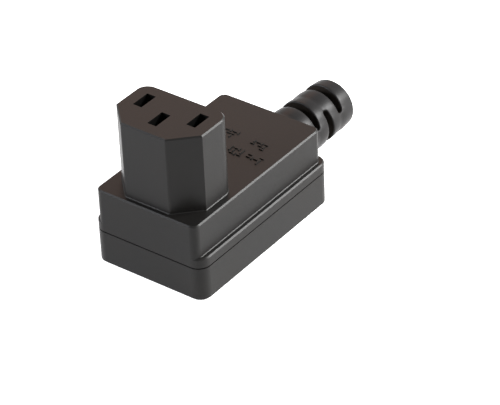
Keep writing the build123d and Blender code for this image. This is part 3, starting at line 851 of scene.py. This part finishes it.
class CONNECTOR_OT_screws(bpy.types.Operator):
    """Builds every screw with its cross recess and thread, turned as its driver left it"""

    bl_idname = "connector.screws"
    bl_label = "Screws"

    def placing_tree(self, material):
        """Puts one screw on every place, turned by chance about its axis."""
        tree, entry = new_tree(
            "placed_screws", {"Places": "Geometry", "Screw": "Object", "Largest turn": "Float"}
        )
        screw = add_node(tree, "GeometryNodeObjectInfo", {"Object": entry["Screw"]})
        turned = add_node(
            tree, "FunctionNodeRandomValue", {FLOAT_MAX: entry["Largest turn"]},
            data_type="FLOAT", Seed=5
        )
        spin = add_node(tree, "ShaderNodeCombineXYZ", {"Z": turned.outputs[FLOAT_OUT]})
        spread = add_node(tree, "GeometryNodeInstanceOnPoints", {
            "Points": entry["Places"], "Instance": screw.outputs["Geometry"],
            "Rotation": spin.outputs["Vector"],
        })
        close_tree(tree, spread.outputs["Instances"], material)
        return tree

    def execute(self, context):
        sizes = sizes_in_mm(context.scene.connector_sizes)
        material = bpy.data.materials["screw_zinc_plated_steel"]
        tree = self.placing_tree(material)
        for kind, head_height in (
            ("housing_screw", sizes.tapping_head),
            ("cord_clamp_screw", sizes.tapping_head),
            ("terminal_screw", sizes.terminal_head),
        ):
            names = sorted(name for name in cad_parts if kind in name)
            places = []
            for name in names:
                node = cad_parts[name]
                corners = [node.matrix_world @ Vector(corner) for corner in node.bound_box]
                low = [min(corner[i] for corner in corners) for i in range(3)]
                high = [max(corner[i] for corner in corners) for i in range(3)]
                places.append(((low[0] + high[0]) / 2, (low[1] + high[1]) / 2, 0.0))
            shape = ScrewShape(sizes, low[2] / MM, head_height, high[2] / MM)
            pattern = object_from_bmesh(f"{kind}_pattern", shape.build(), material)
            piece = piece_from_tree(
                f"cross_{kind}s", tree, places, {"Screw": pattern, "Largest turn": math.pi / 2}
            )
            bpy.data.objects.remove(pattern)
            keep_piece(piece, "screw_steel", *names)
        return {"FINISHED"}


def camera_rotation():
    """World rotation of the camera from its azimuth, elevation and roll."""
    a, e, r = (math.radians(v) for v in (CAMERA_AZIMUTH, CAMERA_ELEVATION, CAMERA_ROLL))
    back = Vector((math.sin(a) * math.cos(e), -math.cos(a) * math.cos(e), math.sin(e)))
    right = Vector((math.cos(a), math.sin(a), 0))
    up = back.cross(right)
    turned_right = right * math.cos(r) + up * math.sin(r)
    turned_up = up * math.cos(r) - right * math.sin(r)
    return Matrix((turned_right, turned_up, back)).transposed().to_4x4()


def soft_box(name, place_mm, size_mm, watts, hex_colour):
    """A soft box that faces the body."""
    data = bpy.data.lights.new(name, "AREA")
    data.shape = "RECTANGLE"
    data.size, data.size_y = (side * MM for side in size_mm)
    data.energy = watts
    data.color = linear(hex_colour)[:3]
    lamp = add_object(name, data)
    lamp.location = Vector(place_mm) * MM
    aim = (Vector(LAMP_AIM_MM) - Vector(place_mm)).normalized()
    lamp.rotation_euler = aim.to_track_quat("-Z", "Y").to_euler()


def seen_mask(tree):
    """1 for rays from the camera, from gloss and through glass, 0 for the light that falls on things."""
    path = add_node(tree, "ShaderNodeLightPath").outputs
    first = add_node(
        tree, "ShaderNodeMath", {0: path["Is Camera Ray"], 1: path["Is Glossy Ray"]},
        operation="MAXIMUM"
    )
    return add_node(
        tree, "ShaderNodeMath", {0: first.outputs[0], 1: path["Is Transmission Ray"]},
        operation="MAXIMUM"
    ).outputs[0]


class CONNECTOR_OT_stage(bpy.types.Operator):
    """Sets the white floor, the soft light and the photograph's camera"""

    bl_idname = "connector.stage"
    bl_label = "Stage"

    def set_world(self, scene):
        """White where it is seen, weak where it lights."""
        scene.world = bpy.data.worlds.new("studio")
        scene.world.use_nodes = True
        tree = scene.world.node_tree
        tree.nodes.clear()
        seen = add_node(tree, "ShaderNodeBackground", Strength=1.0)
        seen.inputs["Color"].default_value = linear(WHITE)
        lit = add_node(tree, "ShaderNodeBackground", Strength=WORLD_LIGHT)
        lit.inputs["Color"].default_value = linear(WORLD_TINT)
        mix = add_node(tree, "ShaderNodeMixShader", {
            0: seen_mask(tree), 1: lit.outputs[0], 2: seen.outputs[0],
        })
        add_node(tree, "ShaderNodeOutputWorld", {"Surface": mix.outputs[0]})

    def add_floor(self):
        """A plain matt sweep that glows where it is seen and keeps the object's shadow."""
        bm = bmesh.new()
        bmesh.ops.create_grid(bm, x_segments=1, y_segments=1, size=FLOOR_MM * MM / 2)
        bmesh.ops.translate(bm, verts=bm.verts, vec=(0, 0, CAD_LOW[2] - FLOOR_DROP_MM * MM))
        material, tree = new_material("floor_white_sweep")
        matt = add_node(tree, "ShaderNodeBsdfDiffuse")
        matt.inputs["Color"].default_value = linear(FLOOR_COLOUR)
        glow = add_node(tree, "ShaderNodeEmission", Strength=FLOOR_GLOW)
        glow.inputs["Color"].default_value = linear(WHITE)
        both = add_node(tree, "ShaderNodeAddShader", {0: matt.outputs[0], 1: glow.outputs[0]})
        mix = add_node(tree, "ShaderNodeMixShader", {
            0: seen_mask(tree), 1: matt.outputs[0], 2: both.outputs[0],
        })
        add_node(tree, "ShaderNodeOutputMaterial", {"Surface": mix.outputs[0]})
        object_from_bmesh("floor", bm, material)

    def add_camera(self, scene):
        """The photograph's camera."""
        data = bpy.data.cameras.new("photo_camera")
        data.sensor_fit = "HORIZONTAL"
        data.sensor_width = SENSOR_WIDTH_MM
        data.lens = FOCAL_PIXELS / PHOTO_WIDTH_PIXELS * SENSOR_WIDTH_MM
        data.clip_start = 0.01
        data.clip_end = 10
        scene.camera = add_object("photo_camera", data)
        place = Matrix.Translation(Vector(CAMERA_PLACE_MM) * MM)
        scene.camera.matrix_world = place @ camera_rotation()

    def execute(self, context):
        scene = context.scene
        scene.view_settings.view_transform = "Standard"
        self.set_world(scene)
        self.add_floor()
        for lamp in LAMPS:
            soft_box(*lamp)
        self.add_camera(scene)
        return {"FINISHED"}


class CONNECTOR_PT_panel(bpy.types.Panel):
    """Lists the connector's sizes, colours and operators"""

    bl_idname = "CONNECTOR_PT_panel"
    bl_label = "Connector"
    bl_space_type = "VIEW_3D"
    bl_region_type = "UI"
    bl_category = "Connector"

    def draw(self, context):
        scene = context.scene
        for name in ConnectorSizes.__annotations__:
            self.layout.prop(scene.connector_sizes, name)
        for name in ConnectorColours.__annotations__:
            self.layout.prop(scene.connector_colours, name)
        for operator in OPERATORS:
            self.layout.operator(operator.bl_idname)


OPERATORS = (
    CONNECTOR_OT_housing,
    CONNECTOR_OT_marks,
    CONNECTOR_OT_boot,
    CONNECTOR_OT_inner_mouldings,
    CONNECTOR_OT_metal_parts,
    CONNECTOR_OT_screws,
    CONNECTOR_OT_stage,
)
CLASSES = (ConnectorSizes, ConnectorColours, *OPERATORS, CONNECTOR_PT_panel)


def register():
    """Registers the classes and hangs the properties on the scene."""
    for item in CLASSES:
        bpy.utils.register_class(item)
    bpy.types.Scene.connector_sizes = bpy.props.PointerProperty(type=ConnectorSizes)
    bpy.types.Scene.connector_colours = bpy.props.PointerProperty(type=ConnectorColours)


def unregister():
    """Undoes what register did."""
    del bpy.types.Scene.connector_colours
    del bpy.types.Scene.connector_sizes
    for item in reversed(CLASSES):
        bpy.utils.unregister_class(item)


def main():
    """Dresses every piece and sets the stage."""
    register()
    bpy.ops.connector.housing()
    bpy.ops.connector.marks()
    bpy.ops.connector.boot()
    bpy.ops.connector.inner_mouldings()
    bpy.ops.connector.metal_parts()
    bpy.ops.connector.screws()
    bpy.ops.connector.stage()


if __name__ == "__main__":
    main()
